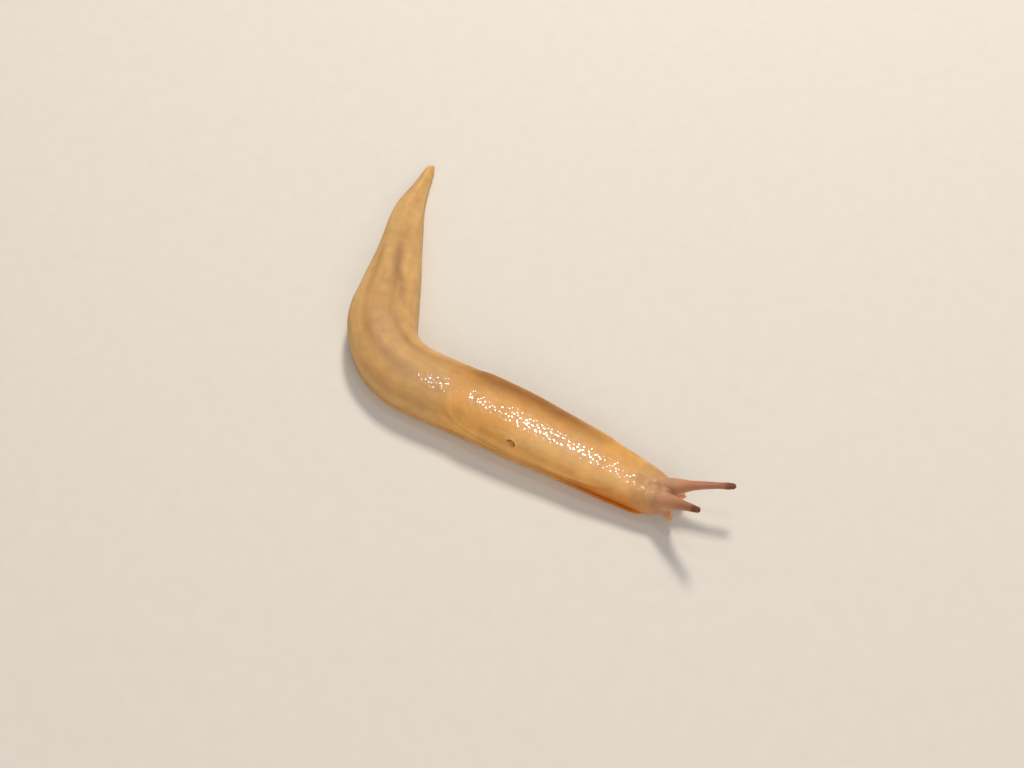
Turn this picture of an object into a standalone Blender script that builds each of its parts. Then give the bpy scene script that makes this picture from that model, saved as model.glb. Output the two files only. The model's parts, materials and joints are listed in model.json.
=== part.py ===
"""Ambigolimax slug, life size: a still model of the animal crawling round a bend.

A point on the body has three measures: s, the distance along the spine from the tail tip to the
snout; phi, the angle round the body in degrees, 0 on the back and positive to the animal's left;
and how far it stands out from the skin. Lengths are in millimetres, and the meshes in metres.
The head faces +X, the tail lies towards +Y, the floor is z = 0, +Z is up, and the origin is on
the floor under the middle of the animal's box.
"""

import math

import bmesh
import bpy
import numpy as np
from mathutils import Matrix, Vector

MM = 0.001
GAP = 0.3

# The spine: where the tail tip lies, which way it heads, and the bends on the way to the snout
LENGTH = 63.0
TAIL_TIP = (-24.83, 15.16)
TAIL_HEADING = -78.0
BENDS = (
    # start along the spine, length of the bend, degrees turned (positive to the animal's left)
    (5.0, 6.0, 14.0),
    (21.0, 14.0, 79.5),
    (-7.0, 66.0, -15.5),
)
SPINE_STEP = 0.05

# The body: half its width at places along the spine, and its height, which follows the width
HALF_WIDTHS = (
    (0.0, 0.45), (4.0, 0.95), (9.0, 1.9), (14.0, 2.5), (19.0, 3.25), (24.0, 3.8),
    (30.0, 3.6), (44.0, 3.45), (50.0, 3.15), (56.0, 2.85), (60.0, 2.5), (63.0, 2.2),
)
HEIGHT_RATE = 1.25
HEIGHT_BASE = 0.1
ROUNDNESS = 0.87
WAIST = 0.42

# The tail's keel, a blunt ridge on the back that fades forwards
KEEL_RISE = 0.5
KEEL_WIDTH = 22.0
KEEL_CREST = 5.0
KEEL_END = 20.0

# The furrow that parts the body from the foot, and the foot's fringe and round ends
GROOVE_RATE = 0.15
GROOVE_BASE = 0.3
GROOVE_TUCK = 0.9
FRINGE_INSET = 0.3
FOOT_END = 61.8
FOOT_ROUND = 2.4
TAIL_ROUND = 1.4
TIP_LENGTH = 2.1
TIP_STEP = 0.3

# The head: the snout's round end and the furrow along its top
SNOUT_START = 60.2
SNOUT_BLUNT = 2.6
MOUTH_LEVEL = 1.45
FURROW_DEPTH = 0.16
FURROW_WIDTH = 9.0
FURROW_FADE = 2.0

# The lips under the snout and the mouth's slit between them: half sizes along, across and up
MOUTH_PLACE = 62.35
LIP_HEIGHT = 1.3
LIP_SPREAD = 0.42
LIP_RADII = (0.75, 0.5, 0.5)
SLIT_RADII = (0.5, 0.12, 0.42)

# Places where the long body is divided
TAIL_CUT = 12.0
REAR_CUT = 20.5
BEND_CUT = 28.0
MANTLE_CUT = 36.2
FOOT_CUT = 48.0
NECK_CUT = 54.8
HEAD_CUT = 59.0

# The mantle, a shield of skin over the front half of the back
MANTLE_REAR = 36.8
MANTLE_FRONT = 57.8
MANTLE_SPREAD = 104.0
MANTLE_OVAL = 2.5
MANTLE_RAISE = 0.2
MANTLE_DEPTH = 0.6
MANTLE_EDGE = 0.35

# The breathing pore, low on the mantle's right side
PORE_PLACE = 45.5
PORE_ANGLE = -62.0
PORE_RADII = (0.65, 0.3, 0.5)
PORE_RIM = 0.16

# Tentacles: radii from the root, sunk in the head, to the tip at 1; the short one is drawn in and so thicker
LONG_RADII = (
    (-0.2, 1.1), (0.0, 1.0), (0.16, 0.8), (0.32, 0.57), (0.55, 0.44), (0.83, 0.35), (0.93, 0.38), (1.0, 0.33),
)
SHORT_RADII = (
    (-0.2, 1.1), (0.0, 1.0), (0.16, 0.88), (0.32, 0.76), (0.45, 0.68), (0.57, 0.59), (0.72, 0.49), (0.9, 0.4),
    (1.0, 0.33),
)
LOWER_RADII = ((-0.5, 0.5), (0.25, 0.42), (0.7, 0.34), (0.87, 0.26), (1.0, 0.1))
TENTACLES = (
    # name, place along the spine, phi, length, heading, rise, radii
    ("tentacle_upper_left", 62.2, 33.0, 6.1, 24.0, 14.0, LONG_RADII),
    ("tentacle_upper_right", 62.1, -24.0, 4.95, -9.0, 40.0, SHORT_RADII),
    ("tentacle_lower_left", 62.8, 96.0, 1.1, 24.0, -22.0, LOWER_RADII),
    ("tentacle_lower_right", 62.8, -92.0, 1.1, -32.0, -24.0, LOWER_RADII),
)
TENTACLE_BOW = 0.05
EYE_RADIUS = 0.33
EYE_LENGTH = 0.34
EYE_GAP = 0.12

# How finely the solids are faceted, and the small flats that close their round ends
RING_STEP = 0.9
HEAD_RING_STEP = 0.4
MANTLE_RING_STEP = 0.8
FOOT_RING_STEP = 1.1
BACK_SIDES = 26
TENTACLE_RINGS = 10
TENTACLE_SIDES = 4
BEAD_SIDES = 20
TIP_FLAT = 0.03
MANTLE_FLAT = 0.05
WELD = 0.000005
SHARP = math.radians(40.0)


def clamp(value):
    return max(0.0, min(1.0, value))


def smoothstep(t):
    t = clamp(t)
    return t * t * (3.0 - 2.0 * t)


def signed_power(value, power):
    return math.copysign(abs(value) ** power, value)


def between(table, s):
    """Value at s on a smooth curve through a table of (place, value) that never overshoots."""
    places = [place for place, value in table]
    values = [value for place, value in table]
    slopes = [(values[i + 1] - values[i]) / (places[i + 1] - places[i]) for i in range(len(table) - 1)]
    tangents = [slopes[0]]
    for before, after in zip(slopes, slopes[1:]):
        tangents.append(2.0 * before * after / (before + after) if before * after > 0.0 else 0.0)
    tangents.append(slopes[-1])
    i = 0
    while i < len(table) - 2 and s > places[i + 1]:
        i += 1
    run = places[i + 1] - places[i]
    t = clamp((s - places[i]) / run)
    near = values[i] * (1.0 + 2.0 * t) + tangents[i] * run * t
    far = values[i + 1] * (3.0 - 2.0 * t) + tangents[i + 1] * run * (t - 1.0)
    return near * (1.0 - t) ** 2 + far * t * t


def heading(s):
    """Direction of the spine at s, in radians from +X."""
    turned = sum(turn * smoothstep((s - start) / run) for start, run, turn in BENDS)
    return math.radians(TAIL_HEADING + turned)


def trace_spine():
    """Places every SPINE_STEP along the spine, with their x and y."""
    places = np.linspace(0.0, LENGTH, int(round(LENGTH / SPINE_STEP)) + 1)
    angles = np.array([heading(s) for s in places])
    middle = 0.5 * (angles[1:] + angles[:-1])
    x = TAIL_TIP[0] + np.concatenate(([0.0], np.cumsum(np.cos(middle) * SPINE_STEP)))
    y = TAIL_TIP[1] + np.concatenate(([0.0], np.cumsum(np.sin(middle) * SPINE_STEP)))
    return places, x, y


SPINE_PLACES, SPINE_X, SPINE_Y = trace_spine()


def place(s, across, up):
    """World point, in metres, at s along the spine, across to the left and up from the floor."""
    x = float(np.interp(s, SPINE_PLACES, SPINE_X))
    y = float(np.interp(s, SPINE_PLACES, SPINE_Y))
    angle = heading(s)
    return Vector((x - across * math.sin(angle), y + across * math.cos(angle), up)) * MM


def blunt(s):
    """1 along the body, falling to 0 at the snout on a round curve."""
    t = clamp((s - SNOUT_START) / (LENGTH - SNOUT_START))
    return (1.0 - t ** SNOUT_BLUNT) ** (1.0 / SNOUT_BLUNT)


def full_height(s):
    return HEIGHT_RATE * between(HALF_WIDTHS, s) + HEIGHT_BASE


def half_width(s):
    return between(HALF_WIDTHS, s) * blunt(s)


def back_height(s):
    return MOUTH_LEVEL + (full_height(s) - MOUTH_LEVEL) * blunt(s)


def furrow_height(s):
    """Height of the furrow between foot and body."""
    return GROOVE_RATE * full_height(s) + GROOVE_BASE


def underside(s):
    """Height of the body's underside, which closes up to the mouth at the snout."""
    return MOUTH_LEVEL + (furrow_height(s) - MOUTH_LEVEL) * blunt(s)


def keel(s, phi):
    """Extra height of the tail's ridge."""
    along = smoothstep(s / KEEL_CREST) * (1.0 - smoothstep((s - KEEL_CREST) / (KEEL_END - KEEL_CREST)))
    return KEEL_RISE * along * math.exp(-(phi / KEEL_WIDTH) ** 2)


def head_furrow(s, phi):
    """Depth of the groove along the top of the head."""
    along = smoothstep((s - MANTLE_FRONT) / FURROW_FADE) * blunt(s)
    return FURROW_DEPTH * along * math.exp(-(phi / FURROW_WIDTH) ** 2)


# The flank turns in under its widest place, and meets the underside at this angle round the body
UNDER_DROP = (1.0 - GROOVE_TUCK ** (2.0 / ROUNDNESS)) ** (ROUNDNESS / 2.0)
UNDER_PHI = 180.0 - math.degrees(math.asin(GROOVE_TUCK ** (1.0 / ROUNDNESS)))


def skin(s, phi, grow=0.0):
    """(across, up) on the skin, or on a surface that stands out from it by grow."""
    top = back_height(s)
    under = underside(s)
    waist = under + WAIST * (top - under)
    reach = top - waist if abs(phi) <= 90.0 else (waist - under) / UNDER_DROP
    side = math.radians(phi)
    across = (half_width(s) + grow) * signed_power(math.sin(side), ROUNDNESS)
    up = waist + (reach + grow) * signed_power(math.cos(side), ROUNDNESS)
    return across, up + keel(s, phi) - head_furrow(s, phi)


def body_ring(s, grow=0.0):
    """Closed section of the body, over the back and along the flat under it."""
    belly = underside(s) + 0.5 * GAP - grow
    points = [skin(s, float(phi), grow) for phi in np.linspace(-UNDER_PHI, UNDER_PHI, BACK_SIDES + 1)]
    points = [(across, max(up, belly)) for across, up in points]
    edge = points[-1][0]
    points += [(edge * part, belly) for part in (0.5, 0.0, -0.5)]
    return [place(s, across, up) for across, up in points]


def foot_half_width(s):
    """The foot is as wide as the body, and round at both ends."""
    front = clamp((s - FOOT_END + FOOT_ROUND) / FOOT_ROUND)
    rear = clamp((TAIL_ROUND - s) / TAIL_ROUND)
    return between(HALF_WIDTHS, s) * math.sqrt(1.0 - front ** 2) * math.sqrt(1.0 - rear ** 2)


def foot_ring(s):
    """Closed section of the foot: a flat sole, a round fringe, and the tail's very tip on its rear."""
    wide = foot_half_width(s)
    top = furrow_height(s) - 0.5 * GAP
    tip = 1.0 - smoothstep((s - TIP_LENGTH + TIP_STEP) / TIP_STEP)
    rise = (full_height(s) + keel(s, 0.0) - top) * tip
    inset = min(FRINGE_INSET, 0.4 * wide)
    upper = [(0.0, top), (0.3 * wide, top), (0.6 * wide, top), (wide - inset, top)]
    upper = [(across, up + rise * (1.0 - (across / wide) ** 2)) for across, up in upper]
    fringe = [(wide - 0.25 * inset, 0.78 * top), (wide, 0.42 * top), (wide - 0.3 * inset, 0.1 * top)]
    sole = [(wide - 0.8 * inset, 0.0), (0.5 * wide, 0.0), (0.0, 0.0)]
    half = upper + fringe + sole
    mirrored = [(-across, up) for across, up in reversed(half[1:-1])]
    return [place(s, across, up) for across, up in half + mirrored]


def mantle_half_angle(s, grow):
    """How far round the body the mantle reaches at s, to either side of the back."""
    middle = 0.5 * (MANTLE_REAR + MANTLE_FRONT)
    reach = 0.5 * (MANTLE_FRONT - MANTLE_REAR) + grow
    t = clamp(abs(s - middle) / reach)
    spread = MANTLE_SPREAD + math.degrees(grow / half_width(s))
    return spread * (1.0 - t ** MANTLE_OVAL) ** (1.0 / MANTLE_OVAL)


def mantle_ring(s, grow=0.0):
    """Crescent section of the mantle with its round rim; grow makes the room that it sits in."""
    reach = mantle_half_angle(s, grow)
    rim = min(math.degrees(MANTLE_EDGE / half_width(s)), 0.45 * reach)
    outer = MANTLE_RAISE + 2.0 * grow
    inner = -MANTLE_DEPTH - grow
    middle = 0.5 * (outer + inner)
    half_thick = 0.5 * (outer - inner)
    turns = [math.radians(turn) for turn in (60.0, 30.0, 0.0, -30.0, -60.0)]
    left_rim = [(reach - rim + rim * math.cos(turn), middle + half_thick * math.sin(turn)) for turn in turns]
    right_rim = [(-phi, out) for phi, out in reversed(left_rim)]
    over = [(float(phi), outer) for phi in np.linspace(rim - reach, reach - rim, BACK_SIDES + 1)]
    under = [(float(phi), inner) for phi in np.linspace(reach - rim, rim - reach, BACK_SIDES // 2 + 1)]
    return [place(s, *skin(s, phi, out)) for phi, out in over + left_rim + under + right_rim]


def ring_places(start, end, step, rear=False, front=False):
    """Places from start to end, closer together towards an end that rounds off."""
    count = max(2, int(math.ceil((end - start) / step)))
    places = []
    for i in range(count + 1):
        t = i / count
        if rear and front:
            t = 0.5 - 0.5 * math.cos(math.pi * t)
        elif front:
            t = math.sin(0.5 * math.pi * t)
        elif rear:
            t = 1.0 - math.cos(0.5 * math.pi * t)
        places.append(start + (end - start) * t)
    return places


def material(name, colour, roughness):
    """A plain surface in the animal's colour; colour is linear red, green and blue."""
    made = bpy.data.materials.new(name)
    made.use_nodes = True
    shader = made.node_tree.nodes["Principled BSDF"]
    shader.inputs["Base Color"].default_value = (*colour, 1.0)
    shader.inputs["Roughness"].default_value = roughness
    shader.inputs["Metallic"].default_value = 0.0
    return made


def new_object(name, bm, surface, collection):
    """A smooth-shaded object from a finished bmesh, with its faces pointing out."""
    bmesh.ops.recalc_face_normals(bm, faces=bm.faces)
    mesh = bpy.data.meshes.new(name)
    bm.to_mesh(mesh)
    bm.free()
    mesh.materials.append(surface)
    mesh.shade_smooth()
    mesh.set_sharp_from_angle(angle=SHARP)
    made = bpy.data.objects.new(name, mesh)
    collection.objects.link(made)
    return made


def remove_object(made):
    mesh = made.data
    bpy.data.objects.remove(made, do_unlink=True)
    bpy.data.meshes.remove(mesh)


def loft(name, rings, surface, collection):
    """A closed body through sections that all have the same number of points; a sole is one face."""
    bm = bmesh.new()
    loops = [[bm.verts.new(point) for point in ring] for ring in rings]
    sides = len(loops[0])
    for near, far in zip(loops, loops[1:]):
        for i in range(sides):
            j = (i + 1) % sides
            bm.faces.new((near[i], near[j], far[j], far[i]))
    bm.faces.new(loops[0])
    bm.faces.new(loops[-1])
    sole = [face for face in bm.faces if all(vert.co.z == 0.0 for vert in face.verts)]
    bmesh.ops.dissolve_faces(bm, faces=sole)
    return new_object(name, bm, surface, collection)


def largest_shell(bm):
    """Deletes every loose surface but the one with the most points."""
    left = set(bm.verts)
    shells = []
    while left:
        border = [left.pop()]
        shell = []
        while border:
            vert = border.pop()
            shell.append(vert)
            for edge in vert.link_edges:
                other = edge.other_vert(vert)
                if other in left:
                    left.remove(other)
                    border.append(other)
        shells.append(shell)
    shells.sort(key=len)
    scraps = [vert for shell in shells[:-1] for vert in shell]
    bmesh.ops.delete(bm, geom=scraps, context="VERTS")


def combine(target, tool, operation):
    """Applies a Boolean to the target, and keeps its largest closed surface."""
    modifier = target.modifiers.new("fit", "BOOLEAN")
    modifier.operation = operation
    modifier.solver = "EXACT"
    modifier.object = tool
    depsgraph = bpy.context.evaluated_depsgraph_get()
    bm = bmesh.new()
    bm.from_object(target, depsgraph)
    target.modifiers.clear()
    bmesh.ops.remove_doubles(bm, verts=bm.verts, dist=WELD)
    largest_shell(bm)
    bm.to_mesh(target.data)
    bm.free()


def surface_turn(s, phi):
    """Rotation that takes X along the body, Y round it and Z out of the skin at (s, phi)."""
    near = 0.1
    beside = 2.0
    along = place(s + near, *skin(s + near, phi)) - place(s - near, *skin(s - near, phi))
    girth = place(s, *skin(s, phi + beside)) - place(s, *skin(s, phi - beside))
    along.normalize()
    out = along.cross(girth).normalized()
    return Matrix((along, out.cross(along), out)).transposed().to_4x4()


def bead(name, centre, turn, radii, surface, collection, dome=False):
    """An ellipsoid with its radii in millimetres, or its upper half with a flat back."""
    bm = bmesh.new()
    bmesh.ops.create_uvsphere(bm, u_segments=BEAD_SIDES, v_segments=BEAD_SIDES // 2, radius=1.0)
    if dome:
        everything = bm.verts[:] + bm.edges[:] + bm.faces[:]
        bmesh.ops.bisect_plane(bm, geom=everything, dist=WELD, plane_co=(0.0, 0.0, 0.0),
                               plane_no=(0.0, 0.0, 1.0), clear_inner=True)
        bmesh.ops.holes_fill(bm, edges=bm.edges)
    size = Matrix.Diagonal((*[radius * MM for radius in radii], 1.0))
    bmesh.ops.transform(bm, matrix=Matrix.Translation(centre) @ turn @ size, verts=bm.verts)
    return new_object(name, bm, surface, collection)


def make_body(surfaces, collection):
    """The body over the foot, divided into lengths by cuts square to the spine."""
    lengths = (
        ("tail", TIP_LENGTH, TAIL_CUT), ("trunk_rear", TAIL_CUT, REAR_CUT),
        ("trunk_bend_rear", REAR_CUT, BEND_CUT), ("trunk_bend_front", BEND_CUT, MANTLE_CUT),
        ("trunk_front", MANTLE_CUT, NECK_CUT), ("neck", NECK_CUT, HEAD_CUT),
    )
    made = {}
    for name, start, end in lengths:
        places = ring_places(start + 0.5 * GAP, end - 0.5 * GAP, RING_STEP)
        surface = surfaces["head"] if name == "neck" else surfaces["back"]
        made[name] = loft(name, [body_ring(s) for s in places], surface, collection)
    return made


def make_head(surfaces, collection):
    """The blunt snout, with two lips under its front and the mouth's upright slit between them."""
    places = ring_places(HEAD_CUT + 0.5 * GAP, LENGTH - TIP_FLAT, HEAD_RING_STEP, front=True)
    head = loft("head", [body_ring(s) for s in places], surfaces["head"], collection)
    turn = Matrix.Rotation(heading(MOUTH_PLACE), 4, "Z")
    for side in (1.0, -1.0):
        centre = place(MOUTH_PLACE, side * LIP_SPREAD, LIP_HEIGHT)
        lip = bead("lip", centre, turn, LIP_RADII, surfaces["head"], collection)
        combine(head, lip, "UNION")
        remove_object(lip)
    front = place(MOUTH_PLACE, 0.0, LIP_HEIGHT) + turn @ Vector((LIP_RADII[0] * MM, 0.0, 0.0))
    slit = bead("slit", front, turn, SLIT_RADII, surfaces["head"], collection)
    combine(head, slit, "DIFFERENCE")
    remove_object(slit)


def make_foot(surfaces, collection):
    """The flat foot, divided in line with the body, with the tail's tip on its last length."""
    cuts = (0.0, TAIL_CUT, REAR_CUT, BEND_CUT, MANTLE_CUT, FOOT_CUT, FOOT_END)
    names = ("foot_tail", "foot_rear", "foot_bend_rear", "foot_bend_front", "foot_middle", "foot_front")
    for name, start, end in zip(names, cuts, cuts[1:]):
        rear = name == "foot_tail"
        front = name == "foot_front"
        first = TIP_FLAT if rear else start + 0.5 * GAP
        last = end - (TIP_FLAT if front else 0.5 * GAP)
        places = ring_places(first, last, FOOT_RING_STEP, rear=rear, front=front)
        if rear:
            places = sorted(places + [TIP_LENGTH - TIP_STEP - GAP, TIP_LENGTH - GAP])
        loft(name, [foot_ring(s) for s in places], surfaces["foot"], collection)


def shield(name, grow, surfaces, collection):
    """The mantle's shell, or with grow the room that it takes from the body."""
    flat = MANTLE_FLAT - grow
    places = ring_places(MANTLE_REAR + flat, MANTLE_FRONT - flat, MANTLE_RING_STEP, rear=True, front=True)
    return loft(name, [mantle_ring(s, grow) for s in places], surfaces["mantle"], collection)


def make_mantle(body, surfaces, collection):
    """The mantle, let into the body under it, and its breathing pore: a pit in a low rim."""
    mantle = shield("mantle", 0.0, surfaces, collection)
    room = shield("room", GAP, surfaces, collection)
    for name in ("trunk_front", "neck"):
        combine(body[name], room, "DIFFERENCE")
    remove_object(room)

    centre = place(PORE_PLACE, *skin(PORE_PLACE, PORE_ANGLE, MANTLE_RAISE))
    turn = surface_turn(PORE_PLACE, PORE_ANGLE)
    rim_radii = (PORE_RADII[0] + PORE_RIM, PORE_RADII[1] + PORE_RIM, PORE_RIM)
    for name, radii, operation in (("rim", rim_radii, "UNION"), ("pit", PORE_RADII, "DIFFERENCE")):
        tool = bead(name, centre, turn, radii, surfaces["mantle"], collection)
        combine(mantle, tool, operation)
        remove_object(tool)


def tentacle_path(s, phi, length, course, rise, radii):
    """Points, in metres, with their radii, from the root inside the head to the tip."""
    base = place(s, *skin(s, phi))
    lift = math.radians(rise)
    turn = math.radians(course)
    way = Vector((math.cos(turn) * math.cos(lift), math.sin(turn) * math.cos(lift), math.sin(lift)))
    path = []
    for i in range(TENTACLE_RINGS + 1):
        t = radii[0][0] + (1.0 - radii[0][0]) * i / TENTACLE_RINGS
        bow = Vector((0.0, 0.0, TENTACLE_BOW * math.sin(math.pi * clamp(t))))
        path.append((base + (way * t + bow) * length * MM, between(radii, t) * MM))
    return path


def tube(name, path, surface, collection):
    """A round tube along a path of points with their own radii, as a closed mesh."""
    curve = bpy.data.curves.new(name, "CURVE")
    curve.dimensions = "3D"
    curve.bevel_depth = 1.0
    curve.bevel_resolution = TENTACLE_SIDES
    curve.use_fill_caps = True
    spline = curve.splines.new("POLY")
    spline.points.add(len(path) - 1)
    for target, (point, radius) in zip(spline.points, path):
        target.co = (*point, 1.0)
        target.radius = radius
    holder = bpy.data.objects.new(name, curve)
    collection.objects.link(holder)
    mesh = bpy.data.meshes.new_from_object(holder.evaluated_get(bpy.context.evaluated_depsgraph_get()))
    bm = bmesh.new()
    bm.from_mesh(mesh)
    bmesh.ops.remove_doubles(bm, verts=bm.verts, dist=WELD)
    bpy.data.objects.remove(holder, do_unlink=True)
    bpy.data.curves.remove(curve)
    bpy.data.meshes.remove(mesh)
    return new_object(name, bm, surface, collection)


def make_tentacles(surfaces, collection):
    """Four tentacles seated on the head, the upper two with an eye on the tip."""
    places = ring_places(NECK_CUT, LENGTH - TIP_FLAT, HEAD_RING_STEP, front=True)
    seat = loft("seat", [body_ring(s, GAP) for s in places], surfaces["head"], collection)
    for name, *values in TENTACLES:
        path = tentacle_path(*values)
        made = tube(name, path, surfaces["head"], collection)
        combine(made, seat, "DIFFERENCE")
        if "upper" in name:
            tip = path[-1][0]
            way = (tip - path[-2][0]).normalized()
            turn = way.to_track_quat("Z", "Y").to_matrix().to_4x4()
            bead(name.replace("tentacle_upper", "eye"), tip + way * EYE_GAP * MM, turn,
                 (EYE_RADIUS, EYE_RADIUS, EYE_LENGTH), surfaces["eye"], collection, dome=True)
    remove_object(seat)


def main():
    for old in list(bpy.data.objects):
        bpy.data.objects.remove(old, do_unlink=True)
    collection = bpy.data.collections.new("ambigolimax_slug")
    bpy.context.scene.collection.children.link(collection)
    surfaces = {
        "back": material("amber_skin", (0.50, 0.30, 0.12), 0.3),
        "mantle": material("brown_amber_mantle_skin", (0.45, 0.24, 0.09), 0.3),
        "head": material("grey_pink_head_skin", (0.42, 0.25, 0.17), 0.3),
        "foot": material("pale_yellow_foot_skin", (0.62, 0.42, 0.20), 0.35),
        "eye": material("dark_brown_eye", (0.02, 0.012, 0.008), 0.15),
    }
    body = make_body(surfaces, collection)
    make_head(surfaces, collection)
    make_foot(surfaces, collection)
    make_mantle(body, surfaces, collection)
    make_tentacles(surfaces, collection)


main()
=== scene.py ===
# %% [markdown]
# # The wet skin of a slug
#
# The solids of this model have a slug's true outline, but they are faceted and parted by thin cuts.
# The real animal wears one soft, half clear, wet skin from the tail to the tips of its tentacles.
# In this lesson we grow that skin over the solids, fold and grain it, colour it, set the eyes in and
# light it. We work in millimetres, and turn to metres when the mesh is done.

import json
import math

import bmesh
import bpy
import numpy as np
from mathutils import Matrix, Vector, noise

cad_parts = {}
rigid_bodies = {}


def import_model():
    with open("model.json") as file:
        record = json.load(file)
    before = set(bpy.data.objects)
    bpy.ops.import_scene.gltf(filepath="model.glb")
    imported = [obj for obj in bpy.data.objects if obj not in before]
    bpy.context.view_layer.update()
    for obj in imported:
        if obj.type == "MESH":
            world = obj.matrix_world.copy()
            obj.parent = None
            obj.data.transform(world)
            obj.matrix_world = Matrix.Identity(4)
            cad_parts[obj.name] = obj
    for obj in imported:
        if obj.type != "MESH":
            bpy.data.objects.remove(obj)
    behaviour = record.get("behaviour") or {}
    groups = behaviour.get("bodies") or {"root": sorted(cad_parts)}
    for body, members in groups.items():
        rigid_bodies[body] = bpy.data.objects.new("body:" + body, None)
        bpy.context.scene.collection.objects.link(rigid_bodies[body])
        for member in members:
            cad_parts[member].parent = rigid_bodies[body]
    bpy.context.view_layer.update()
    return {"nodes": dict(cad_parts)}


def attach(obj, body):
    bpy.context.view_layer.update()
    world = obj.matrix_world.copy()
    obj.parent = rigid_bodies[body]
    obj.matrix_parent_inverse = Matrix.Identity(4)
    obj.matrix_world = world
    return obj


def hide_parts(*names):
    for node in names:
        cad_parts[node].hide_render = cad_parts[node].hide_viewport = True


MM = 0.001
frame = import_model()
print("solids:", len(frame["nodes"]))

# %% [markdown]
# ## The sizes of the animal
#
# A slug has no bones to measure from. What stays the same while it stretches and bends is the order
# of things along its back, so every place is given as s, the distance along the spine from the tail
# tip to the snout, and phi, the angle round the body: 0 on the back, positive on the animal's left.
# These are the same named sizes that shape the solids, so the skin lands on them.

# %% Sizes in millimetres
LENGTH = 63.0
TAIL_TIP = (-24.83, 15.16)
TAIL_HEADING = -78.0
BENDS = (
    # start along the spine, length of the bend, degrees turned (positive to the animal's left)
    (5.0, 6.0, 14.0),
    (21.0, 14.0, 79.5),
    (-7.0, 66.0, -15.5),
)
HALF_WIDTHS = (
    (0.0, 0.45), (4.0, 0.95), (9.0, 1.9), (14.0, 2.5), (19.0, 3.25), (24.0, 3.8),
    (30.0, 3.6), (44.0, 3.45), (50.0, 3.15), (56.0, 2.85), (60.0, 2.5), (63.0, 2.2),
)
HEIGHT_RATE = 1.25
HEIGHT_BASE = 0.1
ROUNDNESS = 0.87
WAIST = 0.42
KEEL_RISE = 0.5
KEEL_WIDTH = 22.0
KEEL_CREST = 5.0
KEEL_END = 20.0
GROOVE_RATE = 0.15
GROOVE_BASE = 0.3
GROOVE_TUCK = 0.9
FOOT_END = 61.8
FOOT_ROUND = 2.4
TAIL_ROUND = 1.4
SNOUT_START = 60.2
SNOUT_BLUNT = 2.6
MOUTH_LEVEL = 1.45
FURROW_DEPTH = 0.16
FURROW_WIDTH = 9.0
FURROW_FADE = 2.0
MANTLE_REAR = 36.8
MANTLE_FRONT = 57.8
MANTLE_SPREAD = 104.0
MANTLE_OVAL = 2.5
MANTLE_RAISE = 0.2
PORE_PLACE = 45.5
PORE_ANGLE = -62.0
MOUTH_PLACE = 62.35
LIP_HEIGHT = 1.3
LIP_SPREAD = 0.42
LIP_RADII = (0.75, 0.5, 0.5)
LONG_RADII = (
    (-0.2, 1.1), (0.0, 1.0), (0.16, 0.8), (0.32, 0.57), (0.55, 0.44), (0.83, 0.35), (0.93, 0.38),
    (1.0, 0.33),
)
SHORT_RADII = (
    (-0.2, 1.1), (0.0, 1.0), (0.16, 0.88), (0.32, 0.76), (0.45, 0.68), (0.57, 0.59), (0.72, 0.49),
    (0.9, 0.4), (1.0, 0.33),
)
LOWER_RADII = ((-0.5, 0.72), (0.0, 0.58), (0.3, 0.44), (0.7, 0.34), (0.87, 0.26), (1.0, 0.1))
TENTACLES = (
    # name, place along the spine, phi, length, heading, tilt, radii
    ("upper_left", 62.2, 33.0, 6.1, 24.0, 14.0, LONG_RADII),
    ("upper_right", 62.1, -24.0, 4.95, -9.0, 40.0, SHORT_RADII),
    ("lower_left", 62.8, 96.0, 1.1, 24.0, -22.0, LOWER_RADII),
    ("lower_right", 62.8, -92.0, 1.1, -32.0, -24.0, LOWER_RADII),
)
TENTACLE_BOW = 0.05
print("length along the back:", LENGTH, "mm, widest:", 2 * max(width for place, width in HALF_WIDTHS), "mm")

# %% [markdown]
# ## Smooth numbers
#
# Flesh has no corners, so its sizes change along smooth curves. A few small functions make them: an
# even step, a power that keeps its sign for rounded box sections, a curve through a short table that
# never overshoots, and a bell. They take whole arrays, which keeps a mesh of many points quick.

# %% Smooth numbers
def smoothstep(t):
    t = np.clip(t, 0.0, 1.0)
    return t * t * (3.0 - 2.0 * t)


def rise(value, start, run):
    """0 up to start, then an even rise to 1 over the next run."""
    return smoothstep((value - start) / run)


def signed_power(value, power):
    return np.sign(value) * np.abs(value) ** power


def between(table, s):
    """Value at s on a smooth curve through a table of (place, value)."""
    places, values = np.array(table).T
    slopes = np.diff(values) / np.diff(places)
    same_way = slopes[:-1] * slopes[1:] > 0.0
    both = np.where(same_way, slopes[:-1] + slopes[1:], 1.0)
    inner = np.where(same_way, 2.0 * slopes[:-1] * slopes[1:] / both, 0.0)
    tangents = np.concatenate((slopes[:1], inner, slopes[-1:]))
    i = np.clip(np.searchsorted(places, s) - 1, 0, len(slopes) - 1)
    run = np.diff(places)[i]
    t = np.clip((s - places[i]) / run, 0.0, 1.0)
    near = values[i] * (1.0 + 2.0 * t) + tangents[i] * run * t
    far = values[i + 1] * (3.0 - 2.0 * t) + tangents[i + 1] * run * (t - 1.0)
    return near * (1.0 - t) ** 2 + far * t * t


def hump(value, middle, width):
    """1 at the middle, falling off evenly to both sides."""
    return np.exp(-((value - middle) / width) ** 2)


print("half width at mid body:", round(float(between(HALF_WIDTHS, 30.0)), 2), "mm")

# %% [markdown]
# ## The spine
#
# The slug crawls round a bend. Its middle line is traced from a heading that turns smoothly, as a
# car's does when the driver turns the wheel. A line drawn by hand through a few points would wobble
# where the skin stretches. We need the line both ways: from (s, across) to a point of the world, and
# back from any point of the mesh to its place on the body, which is how markings find their spot.

# %% The spine, both ways
SPINE_STEP = 0.05
SPINE_S = np.arange(-8.0, LENGTH + 10.0, SPINE_STEP)


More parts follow.
